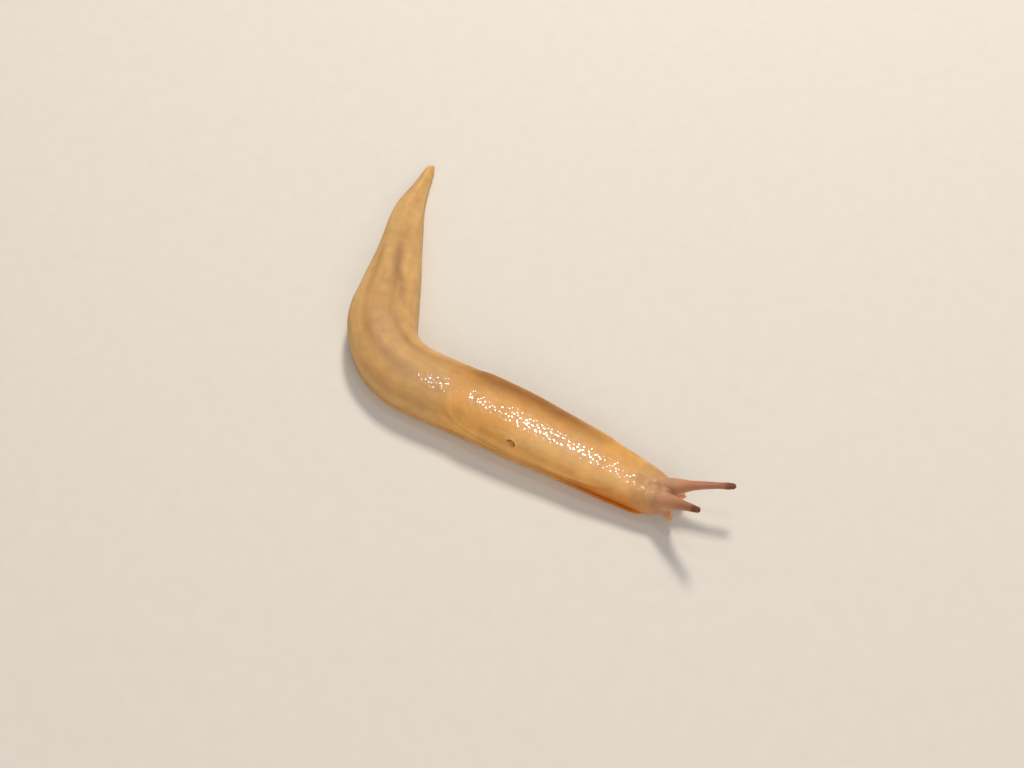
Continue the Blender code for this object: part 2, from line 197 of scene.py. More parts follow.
def heading(s):
    """Direction of the spine at s, in radians from +X."""
    turned = sum(turn * smoothstep((s - start) / run) for start, run, turn in BENDS)
    return np.radians(TAIL_HEADING + turned)


step_heading = heading(SPINE_S[1:] - 0.5 * SPINE_STEP)
SPINE_X = np.concatenate(([0.0], np.cumsum(np.cos(step_heading) * SPINE_STEP)))
SPINE_Y = np.concatenate(([0.0], np.cumsum(np.sin(step_heading) * SPINE_STEP)))
SPINE_X += TAIL_TIP[0] - np.interp(0.0, SPINE_S, SPINE_X)
SPINE_Y += TAIL_TIP[1] - np.interp(0.0, SPINE_S, SPINE_Y)


def place(s, across, up):
    """Points at s along the spine, across to the left and up from the floor."""
    angle = heading(s)
    x = np.interp(s, SPINE_S, SPINE_X) - across * np.sin(angle)
    y = np.interp(s, SPINE_S, SPINE_Y) + across * np.cos(angle)
    return np.stack(np.broadcast_arrays(x, y, up), axis=-1)


def on_spine(points):
    """How far along the spine and how far across from it each point lies."""
    coarse = slice(None, None, 8)
    s = np.zeros(len(points))
    for first in range(0, len(points), 4096):
        batch = points[first:first + 4096]
        off = (batch[:, :1] - SPINE_X[coarse]) ** 2 + (batch[:, 1:2] - SPINE_Y[coarse]) ** 2
        s[first:first + 4096] = SPINE_S[coarse][np.argmin(off, axis=1)]
    for turn in range(14):
        angle = heading(s)
        x = points[:, 0] - np.interp(s, SPINE_S, SPINE_X)
        y = points[:, 1] - np.interp(s, SPINE_S, SPINE_Y)
        s = s + x * np.cos(angle) + y * np.sin(angle)
    return s, y * np.cos(angle) - x * np.sin(angle)


there = place(np.array([30.0]), np.array([2.0]), np.array([1.0]))
print("there and back:", [np.round(part, 3) for part in on_spine(there)])

# %% [markdown]
# ## The section of the body
#
# Cut across, a crawling slug is a low arch on a flat foot: rounder than a box, fuller than an ellipse.
# One formula of rounded powers gives it, where a drawn outline would have to be redrawn at each
# length. The snout and the tail close by shrinking the same arch to a point.

# %% Sections along the body
def blunt(s):
    """1 along the body, falling to 0 at the snout on a round curve."""
    t = np.clip((s - SNOUT_START) / (LENGTH - SNOUT_START), 0.0, 1.0)
    return (1.0 - t ** SNOUT_BLUNT) ** (1.0 / SNOUT_BLUNT)


def tail_round(s):
    """1 along the body, falling to 0 at the tip of the tail."""
    t = np.clip((TAIL_ROUND - s) / TAIL_ROUND, 0.0, 1.0)
    return np.sqrt(1.0 - t ** 2)


def full_height(s):
    return HEIGHT_RATE * between(HALF_WIDTHS, s) + HEIGHT_BASE


def half_width(s):
    return between(HALF_WIDTHS, s) * blunt(s) * tail_round(s)


def furrow_height(s):
    """Height of the furrow between foot and body."""
    return (GROOVE_RATE * full_height(s) + GROOVE_BASE) * tail_round(s)


def back_height(s):
    return (MOUTH_LEVEL + (full_height(s) - MOUTH_LEVEL) * blunt(s)) * tail_round(s)


def underside(s):
    """Height of the body's underside, which closes up to the mouth at the snout."""
    return MOUTH_LEVEL + (furrow_height(s) - MOUTH_LEVEL) * blunt(s)


def keel(s, phi):
    """Extra height of the ridge on the tail."""
    along = smoothstep(s / KEEL_CREST) * (1.0 - smoothstep((s - KEEL_CREST) / (KEEL_END - KEEL_CREST)))
    return KEEL_RISE * along * tail_round(s) * hump(phi, 0.0, KEEL_WIDTH)


def head_furrow(s, phi):
    """Depth of the groove along the top of the head."""
    return FURROW_DEPTH * rise(s, MANTLE_FRONT, FURROW_FADE) * blunt(s) * hump(phi, 0.0, FURROW_WIDTH)


UNDER_DROP = (1.0 - GROOVE_TUCK ** (2.0 / ROUNDNESS)) ** (ROUNDNESS / 2.0)
UNDER_PHI = 180.0 - math.degrees(math.asin(GROOVE_TUCK ** (1.0 / ROUNDNESS)))


def arch(s, above):
    """Level of the widest place, and the arch's reach above it or below it."""
    top = back_height(s)
    under = underside(s)
    waist = under + WAIST * (top - under)
    return waist, np.where(above, top - waist, (waist - under) / UNDER_DROP)


def skin(s, phi, grow=0.0):
    """(across, up) on the skin, or on a surface that stands out from it by grow."""
    waist, reach = arch(s, np.abs(phi) <= 90.0)
    side = np.radians(phi)
    across = (half_width(s) + grow) * signed_power(np.sin(side), ROUNDNESS)
    up = waist + (reach + grow) * signed_power(np.cos(side), ROUNDNESS)
    return across, up + keel(s, phi) - head_furrow(s, phi)


def angle_round(s, across, up):
    """phi of points in the section at s, which need not lie on the skin."""
    wide = np.maximum(half_width(s), 0.2)
    phi = np.zeros_like(s)
    for turn in range(3):
        level = up - keel(s, phi) + head_furrow(s, phi)
        waist, reach = arch(s, level > arch(s, True)[0])
        sideways = signed_power(across / wide, 1.0 / ROUNDNESS)
        upwards = signed_power((level - waist) / np.maximum(reach, 0.2), 1.0 / ROUNDNESS)
        phi = np.degrees(np.arctan2(sideways, upwards))
    return phi


def foot_half_width(s):
    """The foot is as wide as the body, and round at both ends."""
    front = np.clip((s - FOOT_END + FOOT_ROUND) / FOOT_ROUND, 0.0, 1.0)
    return between(HALF_WIDTHS, s) * np.sqrt(1.0 - front ** 2) * tail_round(s)


print("height at mid body:", round(float(back_height(30.0)), 2), "mm")

# %% [markdown]
# ## Camera and floor
#
# A camera looks down on the animal from its right and front, at the angle of the reference picture.
# The floor is one large pale sheet, a hair below the sole so that the two do not flicker.

# %% Camera and floor
LOOK_AT = Vector((-1.69, -6.12, 0.0)) * MM
AZIMUTH = math.radians(30.0)
ELEVATION = math.radians(60.0)
DISTANCE = 154.6 * MM


def from_angles(azimuth, elevation):
    """Direction from the object towards a camera or a lamp."""
    level = math.cos(elevation)
    return Vector((math.sin(azimuth) * level, -math.cos(azimuth) * level, math.sin(elevation)))


scene = bpy.context.scene
camera = bpy.data.objects.new("camera", bpy.data.cameras.new("camera"))
scene.collection.objects.link(camera)
camera.data.lens = 50.0
camera.data.sensor_width = 36.0
camera.data.clip_start = 5.0 * MM
towards_camera = from_angles(AZIMUTH, ELEVATION)
camera.location = LOOK_AT + towards_camera * DISTANCE
camera.rotation_euler = towards_camera.to_track_quat("Z", "Y").to_euler()
scene.camera = camera

FLOOR_SIZE = 1.2
FLOOR_DROP = 0.01 * MM


def to_object(made, name):
    """An object in the scene with the mesh that was made."""
    mesh = bpy.data.meshes.new(name)
    made.to_mesh(mesh)
    made.free()
    shown = bpy.data.objects.new(name, mesh)
    scene.collection.objects.link(shown)
    return shown


bm = bmesh.new()
bmesh.ops.create_grid(bm, x_segments=1, y_segments=1, size=FLOOR_SIZE / 2)
bmesh.ops.translate(bm, verts=bm.verts, vec=(0.0, 0.0, -FLOOR_DROP))
floor = to_object(bm, "floor")
print("camera at mm:", [round(value / MM, 1) for value in camera.location])

# %% [markdown]
# ## Blanks for the body, foot, tentacles and lips
#
# A sculptor starts from rough blanks pushed together. Ours are rods: a cylinder cut into rings, whose
# points are moved to where a formula puts them. Body and foot overlap, and the tentacles have their
# roots sunk in the head. A single mesh built face by face round all of these roots would be slow to
# write and would pinch at the snout, so the blanks are joined in the next step instead.

# %% Rods for the blanks
BELLY_SINK = 0.25
FOOT_SQUARE = 0.42


def points_of(made):
    return np.array([vert.co for vert in made.verts])


def move_to(made, points):
    for vert, point in zip(made.verts, points):
        vert.co = point


def rod(rings, sides, shape):
    """A closed rod. shape gives points from how far along (0 to 1) and how far round (radians) they are."""
    made = bmesh.new()
    bmesh.ops.create_cone(made, cap_ends=True, segments=sides, radius1=1.0, radius2=1.0, depth=1.0)
    lengthwise = [edge for edge in made.edges if abs(edge.verts[0].co.z - edge.verts[1].co.z) > 0.5]
    bmesh.ops.subdivide_edges(made, edges=lengthwise, cuts=rings)
    unit = points_of(made)
    move_to(made, shape(unit[:, 2] + 0.5, np.arctan2(unit[:, 0], unit[:, 1])))
    bmesh.ops.recalc_face_normals(made, faces=made.faces)
    return made


def ease_ends(along, length):
    """Places along a rod, closer together towards both ends."""
    return length * (along - 0.85 * np.sin(2.0 * np.pi * along) / (2.0 * np.pi))


def body_blank(along, turn):
    s = np.clip(ease_ends(along, LENGTH), 0.01, LENGTH - 0.002)
    phi = np.degrees(turn)
    across, up = skin(s, np.clip(phi, -UNDER_PHI, UNDER_PHI))
    below = np.clip((np.abs(phi) - UNDER_PHI) / (180.0 - UNDER_PHI), 0.0, 1.0)
    sink = BELLY_SINK * smoothstep(3.0 * below) * (1.0 - smoothstep(s - 60.2)) * tail_round(s)
    return place(s, across * (1.0 - below), up - sink)


def foot_blank(along, turn):
    s = np.clip(ease_ends(along, FOOT_END), 0.01, FOOT_END - 0.002)
    half = 0.5 * furrow_height(s)
    across = foot_half_width(s) * signed_power(np.sin(turn), FOOT_SQUARE)
    return place(s, across, half * (1.0 + signed_power(np.cos(turn), FOOT_SQUARE)))


blanks = [rod(300, 96, body_blank), rod(240, 48, foot_blank)]
print("body and foot blanks:", [len(made.verts) for made in blanks], "points")

# %% [markdown]
# ## Tentacles and lips
#
# The upper tentacles carry the eyes. Each flares at its root and narrows, and the longer left one swells
# a little at its tip. The lower pair are short feelers beside the mouth. Each is a rod whose radius
# follows a short table. The lips are two balls pressed into the snout under its front.

# %% Blanks for tentacles and lips
TIP_REACH = 0.36


def tentacle_axis(s, phi, length, course, tilt, radii):
    """Root point and unit direction of a tentacle."""
    across, up = skin(np.array([s]), np.array([phi]))
    root = place(np.array([s]), across, up)[0]
    lift = math.radians(tilt)
    side = math.radians(course)
    way = np.array((math.cos(side) * math.cos(lift), math.sin(side) * math.cos(lift), math.sin(lift)))
    return root, way


def tentacle_middle(t, root, way, length):
    """Points on a tentacle's middle line, which bows up a little."""
    t = np.asarray(t)[:, None]
    bow = TENTACLE_BOW * np.sin(np.pi * np.clip(t, 0.0, 1.0)) * np.array((0.0, 0.0, 1.0))
    return root + (way * t + bow) * length


def tentacle_blank(values):
    root, way = tentacle_axis(*values)
    length, radii = values[2], values[5]
    side = np.cross(way, (0.0, 0.0, 1.0))
    side /= np.linalg.norm(side)
    over = np.cross(side, way)
    start = radii[0][0]
    end_radius = radii[-1][1]
    end = 1.0 + TIP_REACH * end_radius / length

    def shape(along, turn):
        t = start + (end - start) * np.minimum(along / 0.9, 1.0)
        cap = np.clip((along - 0.9) / 0.1, 0.0, 1.0) * 0.5 * np.pi
        radius = between(radii, t) * np.cos(cap)
        middle = tentacle_middle(t, root, way, length) + way * (end_radius * np.sin(cap))[:, None]
        return middle + radius[:, None] * (np.outer(np.sin(turn), side) + np.outer(np.cos(turn), over))

    return rod(60, 40, shape)


def lip_blank(side):
    made = bmesh.new()
    bmesh.ops.create_uvsphere(made, u_segments=40, v_segments=24, radius=1.0)
    centre = place(np.array([MOUTH_PLACE]), np.array([side * LIP_SPREAD]), np.array([LIP_HEIGHT]))[0]
    turn = Matrix.Rotation(float(heading(MOUTH_PLACE)), 4, "Z")
    size = Matrix.Diagonal((*LIP_RADII, 1.0))
    bmesh.ops.transform(made, matrix=Matrix.Translation(centre) @ turn @ size, verts=made.verts)
    return made


for name, *values in TENTACLES:
    blanks.append(tentacle_blank(values))
    print(name, "tip at mm:", np.round(tentacle_middle([1.0], *tentacle_axis(*values), values[2])[0], 2))
blanks += [lip_blank(1.0), lip_blank(-1.0)]

# %% [markdown]
# ## One skin from all the blanks
#
# The blanks become a single closed surface with a voxel remesh: space is cut into tiny cubes, and a
# new surface is laid round all that are filled, as if the parts were dipped in wax. A Boolean union
# leaves slivers along each seam, which show on wet skin. The cubes are about a tenth of a millimetre.

# %% Melt the blanks together
VOXEL = 0.123

together = bmesh.new()
for made in blanks:
    piece = bpy.data.meshes.new("blank")
    made.to_mesh(piece)
    made.free()
    together.from_mesh(piece)
    bpy.data.meshes.remove(piece)
wax = to_object(together, "wax")
remesh = wax.modifiers.new("melt", "REMESH")
remesh.mode = "VOXEL"
remesh.voxel_size = VOXEL
remesh.adaptivity = 0.0
bm = bmesh.new()
bm.from_object(wax, bpy.context.evaluated_depsgraph_get())
bpy.data.meshes.remove(wax.data)
print("skin points:", len(bm.verts), "triangles:", sum(len(face.verts) - 2 for face in bm.faces))

# %% [markdown]
# ## Find every point's place on the body
#
# Before carving, each point of the new mesh learns where it sits: s and phi, how far round it is in
# millimetres, and whether it belongs to a tentacle. A painter would mask these areas by hand. Here
# the same formulas that shaped the blanks mark them, so a change of pose moves all marks along.

# %% Where each point sits
def from_tentacle(points, values):
    """How far along a tentacle each point is (0 to 1), and how many radii off its middle line."""
    root, way = tentacle_axis(*values)
    t = (points - root) @ way / values[2]
    off = np.linalg.norm(points - tentacle_middle(t, root, way, values[2]), axis=1)
    return t, off / np.maximum(between(values[5], t), 0.25)


def on_tentacles(points):
    """For each point: how surely it is on a tentacle (0 to 1), how far along, and of which one."""
    sure = np.zeros(len(points))
    along = np.zeros(len(points))
    which = np.full(len(points), -1)
    for index, (name, *values) in enumerate(TENTACLES):
        t, off = from_tentacle(points, values)
        here = (1.0 - rise(off, 1.25, 0.3)) * rise(t, 0.1, 0.15) * (t < 1.0 + 0.6 / values[2])
        better = here > sure
        sure = np.where(better, here, sure)
        along = np.where(better, t, along)
        which = np.where(better, index, which)
    return sure, along, which


def girth(s, across, up):
    """Distance round the body from the middle of the back, in millimetres."""
    wide = np.maximum(half_width(s), 0.2)
    waist, reach = arch(s, True)
    tall = np.maximum(reach, 0.2)
    return np.arctan2(across / wide, (up - waist) / tall) * 0.5 * (wide + tall)


points = points_of(bm)
s, across = on_spine(points)
print("mesh runs from s", round(s.min(), 2), "to", round(s.max(), 2))

# %% [markdown]
# ## Ease the joins, refine the head
#
# The remesh leaves a hard crease where a tentacle meets the head. Skin never creases like that, so
# points near the roots are averaged with their neighbours until the joins flow. The head and the
# pore then get their faces cut in four, because the eye goes there first.

# %% Fillets and a finer head
ROOT_PASSES = 14
ALL_PASSES = 2
HEAD_FINE = 60.2
PORE_FINE = 1.5

sure, along, which = on_tentacles(points)
ahead = s > 60.3
soft = [vert for vert, front, held in zip(bm.verts, ahead, sure) if front and held < 0.75]
for turn in range(ROOT_PASSES):
    bmesh.ops.smooth_vert(bm, verts=soft, factor=0.5, use_axis_x=True, use_axis_y=True, use_axis_z=True)
for turn in range(ALL_PASSES):
    bmesh.ops.smooth_vert(bm, verts=bm.verts, factor=0.5, use_axis_x=True, use_axis_y=True, use_axis_z=True)

SOLE_LEVEL = 0.07
bm.normal_update()
for vert in bm.verts:
    if vert.co.z < SOLE_LEVEL and vert.normal.z < -0.7:
        vert.co.z = 0.0
pore = Vector(place(PORE_PLACE, *skin(PORE_PLACE, PORE_ANGLE, MANTLE_RAISE)))
fine = {
    vert for vert, front in zip(bm.verts, s > HEAD_FINE)
    if vert.co.z > 0.0 and (front or (vert.co - pore).length < PORE_FINE)
}
edges = [edge for edge in bm.edges if edge.verts[0] in fine and edge.verts[1] in fine]
bmesh.ops.subdivide_edges(bm, edges=edges, cuts=1, use_grid_fill=True, smooth=0.6)
print("points with a finer head:", len(bm.verts))

# %% [markdown]
# ## A plainer sole
#
# The sole is flat and rests on the floor, so most of its points can go. Decimate thins just the
# points of a vertex group. A coarser remesh would coarsen the back too.

# %% Plainer sole
SOLE_KEEP = 0.06


def inside_sole(vert):
    return vert.co.z == 0.0 and all(edge.other_vert(vert).co.z == 0.0 for edge in vert.link_edges)


bm.verts.index_update()
flat = [vert.index for vert in bm.verts if inside_sole(vert)]
slug = to_object(bm, "slug_skin")
skin_mesh = slug.data
slug.vertex_groups.new(name="sole").add(flat, 1.0, "REPLACE")
thin = slug.modifiers.new("plain sole", "DECIMATE")
thin.vertex_group = "sole"
thin.ratio = 1.0 - len(flat) / len(skin_mesh.vertices) * (1.0 - SOLE_KEEP)
bm = bmesh.new()
bm.from_object(slug, bpy.context.evaluated_depsgraph_get())
slug.modifiers.clear()
slug.vertex_groups.clear()
print("sole points:", len(flat), "skin points now:", len(bm.verts))
print("triangles:", sum(len(face.verts) - 2 for face in bm.faces))

# %% [markdown]
# ## Lay the trunk back on its curve
#
# Voxels leave faint steps that matt clay would hide, but a wet skin shows them as ripples in each
# highlight. Along the trunk and the tentacles we know the true curve, so each point slides onto it.
# The head, the foot and the tail's tip keep the melted form, with a soft change between the two.

# %% True curve for the trunk
def trunk_share(s, phi, sure):
    """1 where the body's own formula holds, 0 on the head, foot, tail tip and tentacles."""
    ends = rise(s, 1.5, 0.5) * (1.0 - rise(s, 59.3, 1.2))
    return ends * (1.0 - smoothstep((np.abs(phi) - UNDER_PHI + 14.0) / 6.0)) * (1.0 - sure)


points = points_of(bm)
s, across = on_spine(points)
phi = angle_round(s, across, points[:, 2])
sure, along, which = on_tentacles(points)
share = trunk_share(s, phi, sure)[:, None]
settled = place(s, *skin(s, phi))
print("largest step off the curve:", round(float(np.abs((settled - points) * share).max()), 3), "mm")
points = points + (settled - points) * share

for index, (name, *values) in enumerate(TENTACLES):
    root, way = tentacle_axis(*values)
    length, radii = values[2], values[5]
    end = 1.0 + TIP_REACH * radii[-1][1] / length
    middle = tentacle_middle(np.minimum(along, end), root, way, length)
    off = points - middle
    radius = between(radii, along) / np.maximum(np.linalg.norm(off, axis=1), 0.05)
    # the lower pair keep their melted, rounded tips
    share = (which == index) * rise(along, 0.3, 0.2) * (1.0 - (index > 1) * rise(along, 0.7, 0.15))
    points += off * ((radius - 1.0) * share)[:, None]
move_to(bm, points)

# %% [markdown]
# ## Carve the mantle and the furrow
#
# The mantle is a shield of thicker skin over the front half of the back. Its rim stands a little
# proud, with a fine groove outside it: a short step on the flanks and a long, soft slope at both
# ends, where the skin is stretched. Points slide along their normals, as under a sculpting brush, by
# a depth that follows the distance to the rim. A second line, the furrow, runs low along each flank.
# The blanks leave it too deep, so it is filled until it is the shallow line of a stretched slug.

# %% Mantle and furrow
RIM_SLOPE = 1.1
FRONT_SLOPE = 3.0
RIM_GROOVE = 0.012
FURROW_FILL = ((0.0, 0.6), (10.0, 0.95), (46.0, 0.95), (54.0, 0.55), (58.0, 0.35), (61.0, 0.0))
FURROW_REACH = 0.16
FOOT_EDGE = 0.3
FLANK_TOP = 1.9


def outward(made):
    made.normal_update()
    return np.array([vert.normal for vert in made.verts])


def mantle_inside(s, phi):
    """Distance in from the mantle's rim in millimetres, negative outside it."""
    middle = 0.5 * (MANTLE_REAR + MANTLE_FRONT)
    reach = 0.5 * (MANTLE_FRONT - MANTLE_REAR)
    wide = np.maximum(half_width(s), 0.2)
    spread = math.radians(MANTLE_SPREAD) * 0.5 * (wide + arch(s, True)[1])
    lengthwise = np.abs(s - middle) / reach
    sideways = np.abs(phi) / MANTLE_SPREAD
    oval = (lengthwise ** MANTLE_OVAL + sideways ** MANTLE_OVAL) ** (1.0 / MANTLE_OVAL)
    power = MANTLE_OVAL - 1.0
    steep = np.hypot(lengthwise ** power / reach, sideways ** power / spread)
    steep = steep / np.maximum(oval, 0.1) ** power
    return (1.0 - oval) / np.maximum(steep, 0.05)


inside = mantle_inside(s, phi)
on_body = 1.0 - sure
low_side = rise(np.abs(phi), 40.0, 30.0)
ends = rise(s, 50.0, 5.0) + 0.6 * (1.0 - rise(s, 38.5, 2.0))
slope = RIM_SLOPE + FRONT_SLOPE * ends * (1.0 - low_side)
raised = MANTLE_RAISE * smoothstep((inside + 0.1) / slope) - RIM_GROOVE * hump(inside, -0.08, 0.16)
points += outward(bm) * (raised * on_body)[:, None]

up = points[:, 2]
low = hump(up, furrow_height(s), FURROW_REACH) * (1.0 - rise(s, 60.6, 0.9)) * tail_round(s)
flank_share = rise(up, 0.1, FOOT_EDGE) * (1.0 - rise(up, 0.8 * FLANK_TOP, 0.2 * FLANK_TOP))
wall = np.maximum(half_width(s) * (1.0 - 0.03 * low), np.abs(across))
fill = between(FURROW_FILL, s) * flank_share * on_body * (np.abs(across) > 0.75 * half_width(s))
points += place(s, np.sign(across) * wall, up) * fill[:, None] - place(s, across, up) * fill[:, None]
move_to(bm, points)
print("points on the mantle:", int((inside > 0.0).sum()), "points in the furrow:", int((low > 0.5).sum()))

# %% [markdown]
# ## The breathing pore
#
# On its right side, low in the mantle, a slug of this family has one round opening through which it
# breathes. It is a pit with a steep upper wall and a pale, swollen rim, and the skin round it is drawn
# into a few fine rings. The pit is made in a frame of its own: along the body, round it, and out.

# %% Breathing pore
PORE_HALF_LENGTH = 0.52
PORE_HALF_WIDTH = 0.45
PORE_DEPTH = 0.36
PORE_UNDERCUT = 0.15
PORE_LIP = 0.045


def surface_frame(s, phi, grow=0.0):
    """Point on the skin with unit directions along the body, round it to the left, and out."""
    here = place(s, *skin(s, phi, grow))
    lengthwise = place(s + 0.1, *skin(s + 0.1, phi, grow)) - here
    round_body = place(s, *skin(s, phi + 2.0, grow)) - here
    lengthwise /= np.linalg.norm(lengthwise)
    out = np.cross(lengthwise, round_body)
    out /= np.linalg.norm(out)
    return here, lengthwise, np.cross(out, lengthwise), out


centre, pore_along, pore_round, pore_out = surface_frame(PORE_PLACE, PORE_ANGLE, MANTLE_RAISE)
away = points - centre
forward = away @ pore_along
upward = away @ pore_round
near_pore = np.abs(away @ pore_out) < 1.0
ring = np.where(near_pore, np.hypot(forward / PORE_HALF_LENGTH, upward / PORE_HALF_WIDTH), 9.0)
to_arch = 0.4 * forward / PORE_HALF_LENGTH + 0.9 * upward / PORE_HALF_WIDTH
steep_side = rise(to_arch, -0.55, 1.1)
pit = (1.0 - smoothstep((ring - 0.8 * steep_side) / (1.0 - 0.8 * steep_side))) * steep_side
pit_lip = hump(ring, 1.24, 0.2) * rise(to_arch, -0.3, 0.8)
pit_rings = hump(ring, 2.1, 0.7) * np.cos(ring * 9.0) * smoothstep(forward + 0.5)
lift = PORE_LIP * pit_lip + 0.01 * pit_rings
undercut = np.outer(PORE_UNDERCUT * pit, pore_round + 0.5 * pore_along)
points += np.outer(lift - PORE_DEPTH * pit, pore_out) + undercut
print("deepest point of the pore:", round(float(((points - centre) @ pore_out)[pit > 0.9].min()), 2), "mm")

# %% [markdown]
# ## The face: mouth and lips
#
# A slug's mouth is an upright slit under the front of the head, between two soft lips. Creases run out
# from it like the pleats of a drawn purse. Behind the right upper tentacle a short slit marks a second
# opening of the body.

# %% Mouth and lips
SLIT_DEPTH = 0.2
SLIT_WIDTH = 0.08
SIDE_SLIT_PLACE = 60.7
SIDE_SLIT_ANGLE = -72.0
SIDE_SLIT_DEPTH = 0.06
PLEATS = 16
PLEAT_DEPTH = 0.018

move_to(bm, points)
turn = float(heading(MOUTH_PLACE))
ahead = np.array((math.cos(turn), math.sin(turn), 0.0))
mouth = place(np.array([MOUTH_PLACE]), np.array([0.0]), np.array([LIP_HEIGHT]))[0] + ahead * LIP_RADII[0]
away = points - mouth
beside = away @ np.array((-ahead[1], ahead[0], 0.0))
above = away[:, 2]
facing = smoothstep((away @ ahead + 0.9) / 0.4) * on_body
slit = hump(beside, 0.0, SLIT_WIDTH) * smoothstep((0.5 - np.abs(above)) / 0.25) * facing
from_mouth = np.hypot(beside, above)
pleats = (0.5 + 0.5 * np.cos(PLEATS * np.arctan2(beside, above))) * hump(from_mouth, 0.5, 0.3) * facing
side_slit = hump(s, SIDE_SLIT_PLACE, 0.07) * hump(phi, SIDE_SLIT_ANGLE, 6.0) * on_body
points += outward(bm) * (-PLEAT_DEPTH * pleats - SIDE_SLIT_DEPTH * side_slit)[:, None]
points -= np.outer(SLIT_DEPTH * slit, ahead)
print("points in the mouth's slit:", int((slit > 0.5).sum()))

# %% [markdown]
# ## Folds, ridges and tubercles
#
# A stretched slug looks smooth, yet its skin is never plain. Long soft folds follow the body, the
# inside of the bend is creased crossways, and the back is paved with low, longish tubercles. The
# mantle instead bears fine ridges in rings round a spot near its rear, like a fingerprint. Noise that
# is stretched along s and girth makes all of these lie the right way round the bend.

# %% Relief of the skin
FOLD_RELIEF = 0.013
CREASE_RELIEF = 0.026
TUBERCLE_LENGTH = 1.5
TUBERCLE_WIDTH = 0.62
TUBERCLE_RELIEF = 0.016
HEAD_TUBERCLE = 0.42
HEAD_RELIEF = 0.022
RIDGE_STEP = 0.52
RIDGE_RELIEF = 0.009
NUCLEUS = 43.0
LONE_CREASE = 25.0


def ripple(*coordinates):
    """Smooth noise from -1 to 1 at each row of coordinates."""
    return np.array([noise.noise(row) for row in np.stack(np.broadcast_arrays(*coordinates), axis=1)])


def pebbles(*coordinates):
    """1 on top of each rounded cell, 0 in the creases between cells."""
    rows = np.stack(np.broadcast_arrays(*coordinates), axis=1)
    gaps = np.array([near[1] - near[0] for near in (noise.voronoi(row)[0] for row in rows)])
    return 1.0 - (1.0 - np.clip(gaps / 0.55, 0.0, 1.0)) ** 2


move_to(bm, points)
round_body = girth(s, across, points[:, 2])
on_mantle = rise(inside, -0.1, 0.4) * on_body
on_head = np.maximum(rise(s, 58.2, 1.5), sure)
flank = rise(points[:, 2], 0.25, 0.4)

folds = ripple(s / 11.0, round_body / 1.1, 3.0) * (1.0 - 0.7 * on_mantle) * (1.0 - on_head)
bend = rise(s, 19.0, 3.0) * (1.0 - rise(s, 30.0, 4.0)) * rise(phi, 5.0, 50.0)
creases = hump(np.sin(2.6 * s + 1.5 * ripple(s / 3.0, round_body / 2.0, 8.0)), 1.0, 0.5) * bend
lone_crease = hump(s, LONE_CREASE + 1.2 * rise(phi, -28.0, 54.0), 0.18) * hump(phi, 0.0, 30.0)
neck_creases = hump(np.sin(5.2 * s), 1.0, 0.3) * hump(s, 59.1, 0.9) * (1.0 - on_mantle) * on_body
body_skin = (1.0 - on_mantle) * (1.0 - on_head)
paving = pebbles(s / TUBERCLE_LENGTH, round_body / TUBERCLE_WIDTH, 0.0)
face_paving = pebbles(*(points / HEAD_TUBERCLE).T)
ring_place = np.hypot((s - NUCLEUS) / 1.5, round_body - 0.4)
ring_place = ring_place + 0.35 * ripple(s / 2.5, round_body / 1.6, 5.0)
ridges = 0.5 - 0.5 * np.cos(2.0 * np.pi * ring_place / RIDGE_STEP)

relief = FOLD_RELIEF * (folds - 0.5) + TUBERCLE_RELIEF * (paving - 1.0) * body_skin
relief -= CREASE_RELIEF * (creases + 0.6 * lone_crease + 0.7 * neck_creases)
relief -= RIDGE_RELIEF * ridges * on_mantle * (1.0 - pit)
relief += HEAD_RELIEF * (face_paving - 1.0) * on_head * (1.0 - 0.6 * sure) * (1.0 - slit)
print("deepest relief of the body:", round(float((relief * flank).min()), 3), "mm")

# %% [markdown]
# ## Folds and rings of the tentacles
#
# A tentacle is a sleeve that can be drawn in. Soft folds ring the roots of the upper pair, and fine
# rings mark each stalk near its root, where the skin is slack. Then all of the relief is pushed in.

# %% Relief of the tentacles
FOLD_CREASE = 0.045
RING_RELIEF = 0.016
RINGS = 17.0

root_fold = np.zeros(len(points))
for name, *values in TENTACLES[:2]:
    t, off = from_tentacle(points, values)
    ring_share = rise(t, -0.35, 0.15) * (1.0 - rise(t, 0.1, 0.15))
    root_fold = np.maximum(root_fold, hump(off, 1.5, 0.13) * ring_share)
relief -= FOLD_CREASE * root_fold
stalk_rings = hump(np.sin(RINGS * along * np.where(which == 0, 1.2, 1.0)), 1.0, 0.6) * (which < 2)
relief -= RING_RELIEF * stalk_rings * sure * (1.0 - rise(along, 0.25, 0.5))
points += outward(bm) * (relief * flank)[:, None]
points[:, 2] = np.maximum(points[:, 2], 0.0)
move_to(bm, points)
print("deepest relief:", round(float((relief * flank).min()), 3), "mm")

# %% [markdown]
# ## Markings
#
# The colours of a slug sit in soft patches that follow its body: brown bands along the back, and umber
# on the far side of the mantle, partly dark flesh seen through and partly painted shade. Some patches are
# painted light and shade: an orange painted glow low on the front flank for light shining through, a
# paler painted light on the near side of the mantle, and painted shade in the furrows. Each is worked
# out in s and phi and stored on the mesh as an attribute from 0 to 1, which a material can read and
# which moves with the skin. A flat painted picture would need unwrapping and would stretch in the bend.

# %% Bands and patches of the body
OUTER_BAND = ((11.0, -36.0), (15.5, -34.0), (24.8, -22.0), (30.2, -8.0), (37.0, -8.0))
INNER_BAND = ((14.0, 10.0), (18.5, 12.0), (26.2, 22.0), (31.5, 36.0), (38.0, 32.0))
DUSK_PATCH = ((12.0, 5.0), (16.8, 6.0), (20.2, 26.0), (25.0, 30.0))
CLOUD_SIZE = 1.9
WISP_LENGTH = 9.0
WISP_WIDTH = 0.7


def streak(path, width, fade):
    """A soft band along a path of (s, phi) that fades at both ends."""
    start, end = path[0][0], path[-1][0]
    ends = smoothstep((s - start) / fade) * smoothstep((end - s) / fade)
    return hump(phi, between(path, s), width) * ends * on_body


